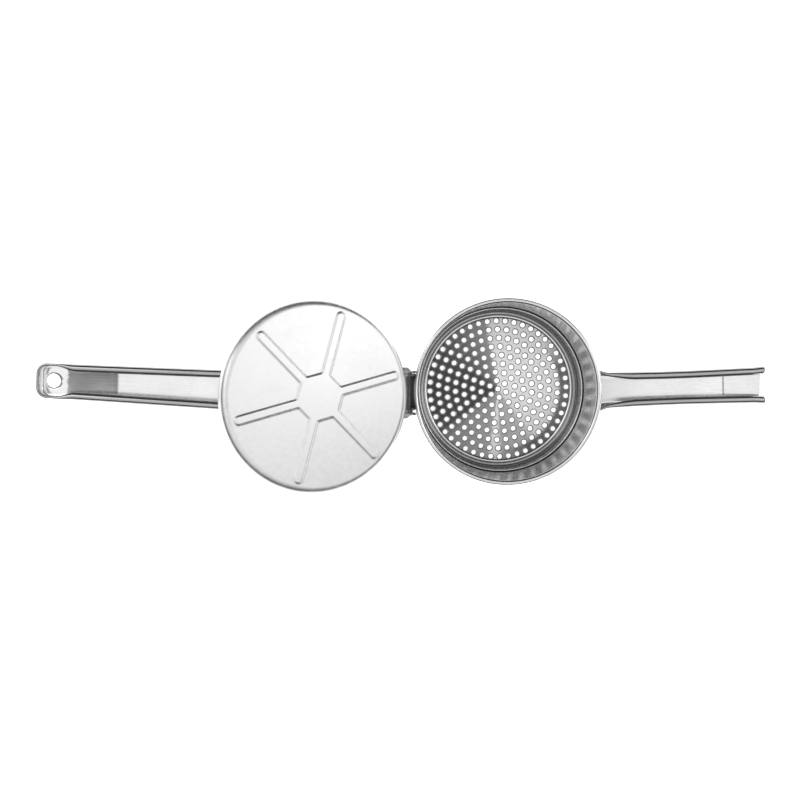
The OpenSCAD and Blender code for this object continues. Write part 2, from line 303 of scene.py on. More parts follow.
def sieve_ring_profile(s):
    """Section of the sieve's wall with a rounded top edge, a rounded foot and a low bead that
    stands on the drilled plate."""
    wall, low, high = RING_HIGH[0], RING_LOW[2], RING_HIGH[2]
    t, face = s.sieve_sheet, SIEVE_HIGH[2]
    foot, hollow, gap = 0.0014, 0.0016, 0.0004
    bead_at = SIEVE_HIGH[0] - 0.0014
    bead_out, bead_in, sink = bead_at + 0.0014, bead_at - 0.0012, 0.0003
    return np.concatenate([
        run((bead_at, face - t), (wall - foot, low), count=5),
        arc((wall - foot, low + foot), foot, -90, 0, 8),
        run((wall, low + foot + gap), (wall, high - 1.5 * gap), count=10),
        arc((wall - t / 2, high - t / 2), t / 2, 0, 180, 9),
        run((wall - t, high - 2 * gap), (wall - t, face + hollow + gap), count=12),
        arc((wall - t - hollow, face + hollow), hollow, 0, -90, 9),
        run((wall - t - hollow - gap / 2, face), (bead_out, face), count=3),
        arc((bead_at, face - sink), s.sieve_bead, 25, 155, 12),
        run((bead_in, face - 0.00002), (bead_in, face - t), count=2),
    ])


def hole_burrs(s):
    """One low ring about every hole: a wall just inside the hole's edge and a ridge that falls
    away from it, carried round a circle and placed on rings of 6, 12, 18 ... holes about the
    middle one."""
    counts = range(1, s.hole_rings + 1)
    ring = np.concatenate([[0]] + [np.full(6 * k, k) for k in counts])
    order = np.concatenate([[0]] + [np.arange(6 * k) for k in counts])
    turn = s.hole_turn + order * SIXTH / np.maximum(ring, 1)
    middle = np.stack([ring * s.hole_pitch * np.cos(turn), ring * s.hole_pitch * np.sin(turn)], -1)
    steps, width, overlap = 16, 0.00062, 0.00004
    around = np.linspace(0, 2 * np.pi, steps, endpoint=False)
    inner = s.hole / 2 - overlap
    across = np.array([[inner, -s.sieve_sheet], [inner, 0], [inner + width * 0.3, s.hole_burr],
                       [inner + width, 0.0]])
    r, z = across[:, 0], across[:, 1] + SIEVE_HIGH[2]
    x = middle[:, 0, None, None] + r * np.cos(around)[:, None]
    y = middle[:, 1, None, None] + r * np.sin(around)[:, None]
    points = np.stack([x, y, np.broadcast_to(z, x.shape)], -1)
    cell = grid_quads(steps, len(across), True, False)[:, ::-1]
    start = np.arange(len(middle))[:, None, None] * steps * len(across)
    points = points.reshape(-1, 3)
    return points, (start + cell).reshape(-1, 4), points[:, :2] * 10


def half_section(lip, corner, sheet, depth, floor):
    """Half of a channel's section, from the middle of its underside out round the lower edge,
    up the wall, over the rolled lip and back down to the middle of its floor. Returns the
    share of the half width, the inset from the outer wall and the height of each point; lip
    and floor are arrays along the handle, so each result has one row for each station. Where
    the floor has climbed to the lip, the lip ends on the floor and hides the inner wall."""
    lip, floor = lip[:, None], floor[:, None]
    still_open, shut = 0.0045, 0.0068
    closed = smooth_step(still_open, shut, floor)
    outer = np.minimum(corner, 0.75 * (depth - lip - floor))
    small = (corner - sheet) * (1 - closed)
    hold = sheet * (1 - closed) + 1.8 * lip * closed
    rest = np.maximum(corner * (1 - closed), hold + 0.0001)
    lip_turn, less_turn = 262, 45
    last = np.radians(lip_turn - less_turn * closed)
    q = np.radians(np.linspace(0, 90, 7))
    lean = np.linspace(0, 1, 25) * last
    spans = np.array([0, 0.25, 0.5, 0.75])
    climb = np.linspace(0.15, 0.95, 5)
    low_out, low_in = floor + outer, floor + sheet + small
    top_in = np.maximum(depth - lip + lip * np.sin(last) - 0.0002, low_in)
    none = 0 * floor
    shares = [spans + none, 1 + 0 * q + none, 1 + 0 * climb + none, 1 + 0 * lean,
              1 + 0 * climb + none, 1 + 0 * q + none, spans[::-1] + none]
    insets = [outer + 0 * spans, outer * (1 - np.sin(q)), 0 * climb + none,
              lip * (1 - np.cos(lean)), hold + 0 * climb, hold + (rest - hold) * (1 - np.cos(q)),
              rest + 0 * spans]
    heights = [floor + 0 * spans, floor + outer * (1 - np.cos(q)),
               low_out + (depth - lip - low_out) * climb, depth - lip + lip * np.sin(lean),
               low_in + (top_in - low_in) * climb[::-1], low_in - small * np.sin(q),
               floor + sheet + 0 * spans]
    return tuple(np.concatenate(part, 1) for part in (shares, insets, heights))


def end_cap(base, per_half):
    """Quads that zip the outer half of a section to its inner half, at one end."""
    i = np.arange(per_half // 2)
    return base + np.stack([i, i + 1, per_half - 2 - i, per_half - 1 - i], -1)


def lower_grip(s):
    """Channel carried along X: y = side * share * (half width - inset). Its start follows the
    cup's wall, x = sqrt(R^2 - y^2), and its end is hollowed by 0.5 mm at the middle."""
    start, end = CUP_HIGH[0] - 0.0003, GRIP_HIGH[0] - 0.0004
    t = np.linspace(0, 1, 120)
    x = start + (end - start) * t
    half = s.grip_half + (s.grip_flare - s.grip_half) * (1 - smooth_step(0.0, 0.12, t)) ** 1.5
    half = half + 0.00035 * smooth_step(0.93, 1.0, t) - 0.0004 * np.sin(np.pi * t) ** 2
    first_lip, last_lip, curl = 0.0007, s.lip + 0.0001, 0.016
    lip = first_lip + (last_lip - first_lip) * smooth_step(0.02, 0.26, t)
    floor = s.end_rise * np.clip((x - end + curl) / curl, 0, 1)
    part, inset, height = half_section(lip, s.corner, s.sheet, s.channel, floor)
    reach = part * (half[:, None] - inset)
    sides = []
    for side in (1, -1):
        y = side * reach
        hollow = 0.0005 * (1 - (y / s.grip_half) ** 2) * smooth_step(0.8, 1.0, t)[:, None]
        wall = np.sqrt(np.maximum(start ** 2 - y ** 2, 0)) - start
        px = x[:, None] - hollow + wall * (1 - t[:, None]) ** 6
        sides.append(np.stack([px, y, height + GRIP_LOW[2]], -1))
    n = part.shape[1]
    points = np.concatenate([sides[0], sides[1][:, ::-1]], 1)
    rows, columns = points.shape[:2]
    quads = grid_quads(rows, columns, False, True)[:, ::-1]
    last = (rows - 1) * columns
    caps = [end_cap(0, n)[:, ::-1], end_cap(n, n)[:, ::-1], end_cap(last, n), end_cap(last + n, n)]
    quads = np.concatenate([quads] + caps)
    c, d = math.cos(s.grip_lean), math.sin(s.grip_lean)
    dx, dy = points[..., 0] - start, points[..., 1]
    points[..., 0] = start + dx * c - dy * d
    points[..., 1] = dx * d + dy * c
    uv = np.stack(np.broadcast_arrays(t[:, None] * 2, np.linspace(0, 1, columns)[None]), -1)
    return points.reshape(-1, 3), quads, uv.reshape(-1, 2)


def ramp_floor(s, along):
    """Height of the upper handle's floor: a short bend, then a straight climb to the tab."""
    climb = np.clip((along - s.ramp) / (s.tab - s.ramp), 0, 1)
    bend = 0.15
    rise = np.where(climb < bend, climb ** 2 / (2 * bend), climb - bend / 2)
    return s.tab_rise * rise / (1 - bend / 2)


def arm_grip(s):
    """Channel carried along the handle's outline, out along one side, round the tip and back.
    Points lie inset along the outline's inward normal; the floor's points lie between there
    and the middle line, or the hanging hole's edge near the tip."""
    begin, gather, fade = 0.014, 0.009, 0.012
    shoulder, waist, lean_from = 0.058, 0.082, 0.056
    thin_lip, tip_lip, lip_from, lip_to = 0.00055, 0.0006, 0.066, 0.086
    bend_u, bend_v = s.arm_length - s.tip_corner, s.arm_tip - s.tip_corner
    hang = s.arm_length - s.hang_in
    u = begin + (bend_u - begin) * (1 - (1 - np.linspace(0, 1, 150)) ** 1.25)
    u = np.sort(np.append(u, hang - gather))
    half = s.arm_mid + (s.arm_tip - s.arm_mid) * (u - waist) / (bend_u - waist)
    half = np.where(u < waist, s.arm_mid, half)
    half = half + (s.arm_half - s.arm_mid) * (1 - smooth_step(shoulder, waist, u))
    bend = np.radians(np.linspace(90, 0, 14))[1:]
    across_end = np.linspace(bend_v, -bend_v, 12)[1:]
    back = bend[::-1][1:]
    across = np.concatenate([half, bend_v + s.tip_corner * np.sin(bend), across_end,
                             -bend_v - s.tip_corner * np.sin(back), -half[::-1]])
    along = np.concatenate([u, bend_u + s.tip_corner * np.cos(bend), 0 * across_end + s.arm_length,
                            bend_u + s.tip_corner * np.cos(back), u[::-1]])
    inward_u = np.concatenate([0 * u, -np.cos(bend), 0 * across_end - 1, -np.cos(back), 0 * u])
    inward_v = np.concatenate([0 * u - 1, -np.sin(bend), 0 * across_end, np.sin(back), 0 * u + 1])
    in_hole = along >= hang - gather - 1e-9
    bore = s.hang_hole / 2
    q = np.clip((hang - along) / gather, 0, 1)
    circle = np.where(along < hang, np.pi / 2 * (1 + q), np.arctan2(np.abs(across), along - hang))
    slide = along + (gather - bore) * (1 - smooth_step(0, fade, hang - gather - along))
    goal_u = np.where(in_hole, hang + bore * np.cos(circle), slide)
    goal_v = np.where(in_hole, np.sign(across) * bore * np.sin(circle), 0)
    lip = thin_lip + (s.lip - thin_lip) * smooth_step(lip_from, lip_to, along)
    lip = lip - (s.lip - tip_lip) * smooth_step(s.tab - 0.006, s.tab + 0.003, along)
    floor = ramp_floor(s, along)
    part, inset, height = half_section(lip, s.corner, s.sheet, s.channel, floor)
    edge_u = along[:, None] + inward_u[:, None] * inset
    edge_v = across[:, None] + inward_v[:, None] * inset
    pu = goal_u[:, None] * (1 - part) + edge_u * part
    pv = goal_v[:, None] * (1 - part) + edge_v * part
    height = height + np.where(part < 1, ramp_floor(s, pu) - floor[:, None], 0)
    lean = np.where(pu > lean_from, s.arm_lean, 0)
    du = pu - lean_from
    pu = lean_from + du * np.cos(lean) - pv * np.sin(lean)
    pv = du * np.sin(lean) + pv * np.cos(lean)
    points = np.stack([PIN[0] - pu, pv, height + ARM_LOW[2]], -1)
    rows, columns = points.shape[:2]
    quads = grid_quads(rows, columns)
    hole_rows = np.flatnonzero(in_hole[:-1] & in_hole[1:])
    first, second = hole_rows * columns, (hole_rows + 1) * columns
    wall = np.stack([first + columns - 1, second + columns - 1, second, first], -1)
    ends = [end_cap(0, columns)[:, ::-1], end_cap((rows - 1) * columns, columns)]
    quads = np.concatenate([quads, wall] + ends)
    uv = np.stack(np.broadcast_arrays(along[:, None] * 12, np.linspace(0, 1, columns)[None]), -1)
    return points.reshape(-1, 3), quads, uv.reshape(-1, 2)


def cheek(centre, reach, bore, y_in, y_out, side):
    """A flat plate about a bore: at each direction a its edge lies at reach(a), and the
    section between bore and edge has small rounded corners."""
    steps, soft = 144, 0.00022
    a = np.linspace(0, 2 * np.pi, steps, endpoint=False)[:, None]
    outer = reach(np.cos(a), np.sin(a))
    blend = np.array([0, 0, 1, 1, 1, 1, 0, 0])
    shift = np.array([0, soft, -soft, 0, 0, -soft, soft, 0])
    y = np.array([y_in + soft, y_in, y_in, y_in + soft, y_out - soft, y_out, y_out, y_out - soft])
    r = bore * (1 - blend) + outer * blend + shift
    points = np.stack([centre[0] - r * np.cos(a), side * y + 0 * r, centre[2] + r * np.sin(a)], -1)
    quads = grid_quads(steps, len(y), True, True)
    quads = quads if side < 0 else quads[:, ::-1]
    return points.reshape(-1, 3), quads, np.zeros((steps * len(y), 2))


def knuckle_reach(c, s):
    """Edge of the plate about the hinge pin, in the direction with cosine c and sine s: a disc
    joined to the channel's end."""
    disc, ahead, above, below = 0.0066, 0.0141, 0.005, 0.007
    flat = np.minimum(ahead / np.maximum(c, ABOVE_ZERO),
                      np.where(s > 0, above, below) / np.maximum(np.abs(s), ABOVE_ZERO))
    return np.maximum(disc, np.where(c > 0, flat, 0))


def ear_reach(c, s):
    """Edge of the ear about the pivot pin, in the direction with cosine c and sine s: a disc
    on a foot that widens down to the wall."""
    disc, drop, widening = 0.0046, 0.003, 0.86
    foot = drop / np.maximum(-s, ABOVE_ZERO)
    slope = disc / np.maximum(np.abs(c) + widening * s, ABOVE_ZERO)
    return np.where(s < 0, np.minimum(foot, np.maximum(slope, disc)), disc)


def star_height(s, x, y):
    """Height of the pressed star: full inside the union of six bars with round ends and a
    hexagon, falling to zero across a narrow slope outside it."""
    a = s.rib_turn + np.arange(6) * SIXTH
    c, d = np.cos(a), np.sin(a)
    along = x[..., None] * c + y[..., None] * d
    side = -x[..., None] * d + y[..., None] * c
    nearest = np.clip(along, 0, s.rib_length - s.rib_width / 2)
    bar = (np.hypot(along - nearest, side) - s.rib_width / 2).min(-1)
    h = a + SIXTH / 2
    hexagon = (x[..., None] * np.cos(h) + y[..., None] * np.sin(h)).max(-1) - s.hub
    soft = 0.0006
    gap = np.minimum(bar, hexagon)
    fillet = np.maximum(soft - np.abs(bar - hexagon), 0) ** 2 / (4 * soft)
    slope_top, slope_foot = -0.0002, 0.0009
    return s.rib_height * (1 - smooth_step(slope_top, slope_foot, gap - fillet))


def presser_shell(s):
    """The presser as a turned shell with the star pressed into its face. Directions crowd
    together beside each rib, so that its edges stay straight and sharp."""
    t, edge = s.sheet, s.presser_edge
    flat, low, gap = s.presser - edge, -s.presser_rim, 0.00045
    # Radii lie closer together across the hub's edge and beyond the ribs' ends.
    r_face = np.concatenate([np.linspace(0, 0.0072, 8), np.linspace(0.0076, 0.0112, 14),
                             np.linspace(0.012, 0.0338, 24), np.linspace(0.0341, flat, 14)])
    r_back = np.concatenate([np.linspace(flat, 0.012, 16), np.linspace(0.0112, 0.0076, 6),
                             np.linspace(0.006, 0, 3)])
    q = np.radians(np.linspace(90, 0, 9))[1:]
    back_q = q[::-1]
    around_edge = np.stack([flat + edge * np.cos(q), -edge + edge * np.sin(q)], -1)
    foot = arc((s.presser - t / 2, low + t / 2), t / 2, 0, -180, 9)
    back_edge = np.stack([flat + (edge - t) * np.cos(back_q),
                          -edge + (edge - t) * np.sin(back_q)], -1)
    profile = np.concatenate([
        np.stack([r_face, 0 * r_face], -1), around_edge,
        run((s.presser, -edge - gap), (s.presser, low + t), count=5), foot,
        run((s.presser - t, low + t), (s.presser - t, -edge - gap), count=4), back_edge,
        np.stack([r_back, 0 * r_back - t], -1)])
    r, z = profile.T
    w = np.linspace(0, 1, 26)[:, None]
    crowded, widest = 0.6, 0.45
    near = np.minimum(s.rib_width, r * 0.4)
    safe_r = np.maximum(r, 1e-6)
    split = np.arcsin(np.clip(near / safe_r, 0, widest))
    first = np.arcsin(np.clip(near * np.minimum(w / crowded, 1) / safe_r, 0, widest))
    second = split + (SIXTH / 2 - split) * np.clip((w - crowded) / (1 - crowded), 0, 1)
    half = np.where(w <= crowded, first, second)
    half[:, r < 1e-6] = w * SIXTH / 2
    sector = np.concatenate([-half[:0:-1], half[:-1]])
    a = np.concatenate([sector + s.rib_turn + k * SIXTH for k in range(6)])
    x, y = r * np.cos(a), r * np.sin(a)
    face = (r <= flat + 1e-9) & ((z > -1e-9) | (np.abs(z + t) < 1e-9))
    lift = np.where(face, star_height(s, x, y), 0)
    points = at_presser(x, y, z + lift + s.presser_drop)
    quads = grid_quads(len(a), len(r), True, False)
    uv = np.stack([a / (2 * np.pi), np.broadcast_to(r * 20, a.shape)], -1)
    return points.reshape(-1, 3), quads, uv.reshape(-1, 2)


def at_presser(a, b, h):
    """Places presser coordinates, a towards the hinge, b along +Y and h along the face's
    normal, at the tilted rest place about the pivot pin."""
    return np.stack([PIVOT[0] + a * math.cos(TILT) + h * math.sin(TILT), PIVOT[1] + b + 0 * h,
                     PIVOT[2] - a * math.sin(TILT) + h * math.cos(TILT)], -1)


# Materials --------------------------------------------------------------------------------

def add_socket(group, name, way, kind, default=None):
    """Adds one named input or output to a node group."""
    socket = group.interface.new_socket(name=name, in_out=way, socket_type=kind)
    if default is not None:
        socket.default_value = default
    return socket


def node(tree, kind, **values):
    """Adds a node; a value named after a property sets it, and in_NAME sets that input."""
    made = tree.nodes.new(kind)
    for key, value in values.items():
        if key.startswith("in_"):
            made.inputs[key[3:].replace("_", " ")].default_value = value
        else:
            setattr(made, key, value)
    return made


def maths(tree, operation, first, second=None, clamp=False):
    """A Math node on two sockets or numbers; gives its output."""
    made = node(tree, "ShaderNodeMath", operation=operation, use_clamp=clamp)
    for place, value in enumerate((first, second)):
        if value is None:
            continue
        if isinstance(value, (int, float)):
            made.inputs[place].default_value = value
        else:
            tree.links.new(value, made.inputs[place])
    return made.outputs[0]


def new_group(name, **inputs):
    """Starts a node group with a Vector, the given further inputs and a Mask to put out. Gives
    the group with its node of inputs and its node of outputs."""
    group = bpy.data.node_groups.new(name, "ShaderNodeTree")
    add_socket(group, "Vector", "INPUT", "NodeSocketVector")
    for key, value in inputs.items():
        kind = "NodeSocketFloat" if isinstance(value, float) else "NodeSocketVector"
        add_socket(group, key.replace("_", " "), "INPUT", kind, value)
    add_socket(group, "Mask", "OUTPUT", "NodeSocketFloat")
    return group, group.nodes.new("NodeGroupInput"), group.nodes.new("NodeGroupOutput")


def from_axis(tree, x, y):
    """Distance from the Z axis: the square root of x x + y y."""
    return maths(tree, "SQRT", maths(tree, "ADD", maths(tree, "MULTIPLY", x, x),
                                     maths(tree, "MULTIPLY", y, y)))


def grain_group():
    """Fine parallel polishing lines: noise on coordinates that are stretched along one way.
    Gives a mask that varies from line to line."""
    name = "Polishing lines"
    if name in bpy.data.node_groups:
        return bpy.data.node_groups[name]
    group, source, sink = new_group(name, Stretch=(1.0, 1.0, 1.0))
    scaled = node(group, "ShaderNodeVectorMath", operation="MULTIPLY")
    group.links.new(source.outputs["Vector"], scaled.inputs[0])
    group.links.new(source.outputs["Stretch"], scaled.inputs[1])
    noise = node(group, "ShaderNodeTexNoise", in_Scale=1.0, in_Detail=4.0, in_Roughness=0.6)
    group.links.new(scaled.outputs[0], noise.inputs["Vector"])
    group.links.new(noise.outputs["Fac"], sink.inputs["Mask"])
    return group


def marks_group():
    """Smudges and faint scratches from use: cloudy noise plus thin crossing lines. Gives a
    mask for colour and roughness."""
    name = "Handling marks"
    if name in bpy.data.node_groups:
        return bpy.data.node_groups[name]
    group, source, sink = new_group(name, Clouds=60.0)
    clouds = node(group, "ShaderNodeTexNoise", in_Detail=5.0, in_Roughness=0.55)
    group.links.new(source.outputs["Vector"], clouds.inputs["Vector"])
    group.links.new(source.outputs["Clouds"], clouds.inputs["Scale"])
    lines = node(group, "ShaderNodeTexVoronoi", feature="DISTANCE_TO_EDGE", in_Scale=90.0)
    bent = node(group, "ShaderNodeVectorMath", operation="MULTIPLY")
    bent.inputs[1].default_value = (1.0, 0.35, 1.0)
    group.links.new(source.outputs["Vector"], bent.inputs[0])
    group.links.new(bent.outputs[0], lines.inputs["Vector"])
    line_width, line_depth = 0.006, 0.18
    thin = maths(group, "LESS_THAN", lines.outputs["Distance"], line_width)
    faint = maths(group, "MULTIPLY", thin, line_depth)
    total = maths(group, "ADD", clouds.outputs["Fac"], faint, clamp=True)
    group.links.new(total, sink.inputs["Mask"])
    return group


def painted_shading_zone_group():
    """Picks out part of a piece by its height or its distance from the Z axis, for painted
    highlights and painted shade: full where either one has passed from its From value to its
    To value."""
    name = "Height and radius zone"
    if name in bpy.data.node_groups:
        return bpy.data.node_groups[name]
    group, source, sink = new_group(name, Height_From=1.0, Height_To=2.0, Radius_From=1.0,
                                    Radius_To=2.0)
    apart = node(group, "ShaderNodeSeparateXYZ")
    group.links.new(source.outputs["Vector"], apart.inputs[0])
    x, y, z = (apart.outputs[axis] for axis in "XYZ")
    both = []
    for value, low, high in ((z, "Height From", "Height To"),
                             (from_axis(group, x, y), "Radius From", "Radius To")):
        step = node(group, "ShaderNodeMapRange")
        group.links.new(value, step.inputs["Value"])
        group.links.new(source.outputs[low], step.inputs["From Min"])
        group.links.new(source.outputs[high], step.inputs["From Max"])
        both.append(step.outputs["Result"])
    group.links.new(maths(group, "MAXIMUM", both[0], both[1]), sink.inputs["Mask"])
    return group


def place_group(tree, group, vector, **values):
    """Places a node group and feeds its Vector."""
    made = node(tree, "ShaderNodeGroup", node_tree=group)
    tree.links.new(vector, made.inputs["Vector"])
    for key, value in values.items():
        made.inputs[key.replace("_", " ")].default_value = value
    return made.outputs["Mask"]


def spread(tree, value, low, high, new_low, new_high):
    """Maps a value from one range to another, held at both ends."""
    made = node(tree, "ShaderNodeMapRange")
    tree.links.new(value, made.inputs["Value"])
    for key, number in (("From Min", low), ("From Max", high), ("To Min", new_low),
                        ("To Max", new_high)):
        made.inputs[key].default_value = number
    return made.outputs["Result"]


def tint(tree, factor, dark, light):
    """Mixes two colours, each a value or a socket, by a factor."""
    made = node(tree, "ShaderNodeMix", data_type="RGBA")
    tree.links.new(factor, made.inputs["Factor"])
    for place, side in ((6, dark), (7, light)):
        if isinstance(side, bpy.types.NodeSocket):
            tree.links.new(side, made.inputs[place])
        else:
            made.inputs[place].default_value = (*side, 1.0)
    return made.outputs[2]


def grey_ramp(tree, value, *stops):
    """A colour ramp through the given (position, grey level) stops."""
    made = node(tree, "ShaderNodeValToRGB")
    elements = made.color_ramp.elements
    for element, (position, level) in zip(elements, (stops[0], stops[-1])):
        element.position, element.color = position, (level, level, level, 1)
    for position, level in stops[1:-1]:
        elements.new(position).color = (level, level, level, 1)
    tree.links.new(value, made.inputs["Fac"])
    return made.outputs["Color"]


def steel(name, base, rough, stretch, use_uv, shade=0.85, clouds=60.0, zone=None,
          painted_shading_colour=None):
    """Stainless steel: polishing lines in roughness and bump, smudges in colour and gloss. A
    zone, when there is one, has its own colour: painted highlights where that colour is lighter
    than the steel, painted shade where it is darker."""
    made = bpy.data.materials.new(name)
    made.use_nodes = True
    tree = made.node_tree
    shader = tree.nodes["Principled BSDF"]
    place = node(tree, "ShaderNodeTexCoord")
    fine = place.outputs["UV"] if use_uv else place.outputs["Object"]
    lines = place_group(tree, grain_group(), fine, Stretch=stretch)
    marks = place_group(tree, marks_group(), place.outputs["Object"], Clouds=clouds)
    both = maths(tree, "ADD", maths(tree, "MULTIPLY", lines, 0.5),
                 maths(tree, "MULTIPLY", marks, 0.5))
    wear = spread(tree, both, 0.35, 0.62, 0, 1)
    tone = tint(tree, wear, [channel * shade for channel in base], base)
    # The zone's colour is painted light and shade laid over the steel's own tone.
    if zone:
        mask = place_group(tree, painted_shading_zone_group(), place.outputs["Object"], **zone)
        painted_shading_tone = tint(tree, wear, [channel * shade for channel in painted_shading_colour], painted_shading_colour)
        tone = tint(tree, mask, tone, painted_shading_tone)
    tree.links.new(tone, shader.inputs["Base Color"])
    tree.links.new(spread(tree, both, 0.3, 0.7, rough * 0.8, rough * 1.25),
                   shader.inputs["Roughness"])
    finish_steel(tree, lines, 0.35)
    return made


def finish_steel(tree, lines, strength):
    """Makes a material metal, with its fine lines as bump."""
    shader = tree.nodes["Principled BSDF"]
    bump = node(tree, "ShaderNodeBump", in_Strength=strength, in_Distance=LINE_DEPTH)
    tree.links.new(lines, bump.inputs["Height"])
    tree.links.new(bump.outputs["Normal"], shader.inputs["Normal"])
    shader.inputs["Metallic"].default_value = 1.0


def sieve_steel():
    """Sheet turned on a lathe: fine rings about its axis. Broad light and dark wedges about the
    axis are painted reflections set in its colour, so they turn with the sieve.
    """
    look = looks()
    made = bpy.data.materials.new("Turned sieve steel with painted reflections")
    made.use_nodes = True
    tree = made.node_tree
    shader = tree.nodes["Principled BSDF"]
    place = node(tree, "ShaderNodeTexCoord")
    apart = node(tree, "ShaderNodeSeparateXYZ")
    tree.links.new(place.outputs["Object"], apart.inputs[0])
    x, y = apart.outputs["X"], apart.outputs["Y"]
    radius = from_axis(tree, x, y)
    turn = maths(tree, "ARCTAN2", y, x)
    polar = node(tree, "ShaderNodeCombineXYZ")
    tree.links.new(radius, polar.inputs["X"])
    tree.links.new(turn, polar.inputs["Y"])
    rings = place_group(tree, grain_group(), polar.outputs[0], Stretch=(2600.0, 1.6, 1.0))
    wave = place_group(tree, marks_group(), place.outputs["Object"], Clouds=180.0)
    shift = maths(tree, "MULTIPLY", maths(tree, "SUBTRACT", wave, 0.5), 0.14)
    bent = maths(tree, "ADD", turn, shift)
    around = maths(tree, "ADD", maths(tree, "DIVIDE", bent, 2 * math.pi), 0.5)
    # Painted reflections: light and dark wedges by direction about the axis.
    painted_reflection_sectors = grey_ramp(tree, around, (0.0, 0.04), (0.095, 0.06), (0.125, 0.27), (0.225, 0.40),
                        (0.235, 0.88), (0.252, 0.85), (0.262, 0.46), (0.335, 0.52), (0.36, 0.84),
                        (0.5, 0.97), (0.75, 0.93), (0.775, 0.80), (0.783, 0.34), (0.85, 0.17),
                        (0.92, 0.06), (1.0, 0.04))
    # Painted shade: a darker crescent lies near the edge, on the side away from the hinge.
    outer = spread(tree, radius, 0.0312, 0.0332, 0, 1)
    aside = maths(tree, "ABSOLUTE", maths(tree, "ADD", turn, 0.35))
    painted_shade_crescent = maths(tree, "MULTIPLY", outer, spread(tree, aside, 0.7, 1.15, 1, 0))
    kept = maths(tree, "SUBTRACT", 1.0, maths(tree, "MULTIPLY", painted_shade_crescent, 0.78))
    fine = maths(tree, "SUBTRACT", maths(tree, "MULTIPLY", rings, 0.25), 0.12)
    tone = maths(tree, "ADD", maths(tree, "MULTIPLY", painted_reflection_sectors, kept), fine, clamp=True)
    # Mixes the painted shade and painted highlight of the reflections, with the real rings on top.
    tree.links.new(tint(tree, tone, look.sieve_painted_shade, look.sieve_painted_highlight), shader.inputs["Base Color"])
    tree.links.new(spread(tree, rings, 0.3, 0.7, 0.28, 0.42), shader.inputs["Roughness"])
    finish_steel(tree, rings, 0.3)
    return made


def finish_cad(names, material):
    """Gives CAD nodes a finish."""
    for name in names:
        for slot in frame["nodes"][name].material_slots:
            slot.material = material


# Operators --------------------------------------------------------------------------------

class RICER_OT_cup(bpy.types.Operator):
    """Adds the cup with its rolled rim"""
    bl_idname = "ricer.add_cup"
    bl_label = "Cup"

    def execute(self, context):
        look = looks()
        # Painted shade on the walls, and a painted highlight along the top of the rim.
        metal = steel("Polished cup steel", look.cup, 0.2, (3.0, 420.0, 1.0), True,
                      zone={"Height_From": 0.0398, "Height_To": 0.0408}, painted_shading_colour=look.rim)
        piece = put_mesh("cup_wall", *turned(cup_profile(sizes()), 256), "cup",
                         "polished_steel", metal)
        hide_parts("cup_shell")
        return {"FINISHED"}


class RICER_OT_sieve(bpy.types.Operator):
    """Adds the sieve's wall and the burrs about its holes"""
    bl_idname = "ricer.add_sieve"
    bl_label = "Sieve"

    def execute(self, context):
        look = looks()
        # Painted shade on the wall, and painted highlights on the bead and the top edge.
        wall = steel("Sieve wall steel", look.ring, 0.2, (3.0, 160.0, 1.0), True,
                     zone={"Height_From": 0.0117, "Height_To": 0.0124,
                           "Radius_From": 0.0397, "Radius_To": 0.0395},
                     painted_shading_colour=look.ring_painted_highlight)
        ring = put_mesh("sieve_wall", *turned(sieve_ring_profile(sizes()), 256), "sieve",
                        "sieve_steel", wall)
        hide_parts("sieve_ring")
        metal = sieve_steel()
        # The burrs' darker colour is painted shade round each hole.
        put_mesh("sieve_hole_burrs", *hole_burrs(sizes()), "sieve", "sieve_steel",
                 steel("Burr steel", look.burrs, 0.25, (900.0, 900.0, 900.0), False))
        finish_cad(["sieve_plate"], metal)
        return {"FINISHED"}


class RICER_OT_lower_handle(bpy.types.Operator):
    """Adds the lower handle and finishes the plate that joins it to the cup"""
    bl_idname = "ricer.add_lower_handle"
    bl_label = "Lower handle"

    def execute(self, context):
        look = looks()
        # Painted shade along the tops of the rolled lips.
        metal = steel("Polished handle steel", look.steel, look.polish, (6.0, 260.0, 1.0), True,
                      zone={"Height_From": 0.0212, "Height_To": 0.0225},
                      painted_shading_colour=look.lips)
        piece = put_mesh("lower_grip", *lower_grip(sizes()), "cup", "polished_steel", metal)
        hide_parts("lower_handle")
        # Painted shade: the bracket and saddle are darkened steel.
        plain = steel("Bracket steel", look.brackets_painted_shade, 0.3, (900.0, 60.0, 900.0), False)
        finish_cad(["handle_saddle", "hinge_bracket"], plain)
        return {"FINISHED"}


class RICER_OT_upper_handle(bpy.types.Operator):
    """Adds the upper handle with its hinge cheeks, pin ears and hanging hole"""
    bl_idname = "ricer.add_upper_handle"
    bl_label = "Upper handle"

    def execute(self, context):
        s, look = sizes(), looks()
        outer, inner = s.arm_half, s.arm_half - s.sheet
        parts = [arm_grip(s)]
        bore = 0.00255
        for side in (1, -1):
            parts.append(cheek(PIN, knuckle_reach, bore, inner, outer, side))
            parts.append(cheek(PIVOT, ear_reach, bore, inner, outer, side))
        # Painted shade along the tops of the lips and on the arm's end near the cup.
        metal = steel("Polished arm steel", look.steel, look.polish, (6.0, 200.0, 1.0), True,
                      zone={"Height_From": 0.0538, "Height_To": 0.0552,
                            "Radius_From": 0.072, "Radius_To": 0.062},
                      painted_shading_colour=look.lips)
        piece = put_mesh("upper_grip", *join_parts(parts), "upper_arm", "polished_steel", metal)
        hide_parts("upper_handle")
        return {"FINISHED"}


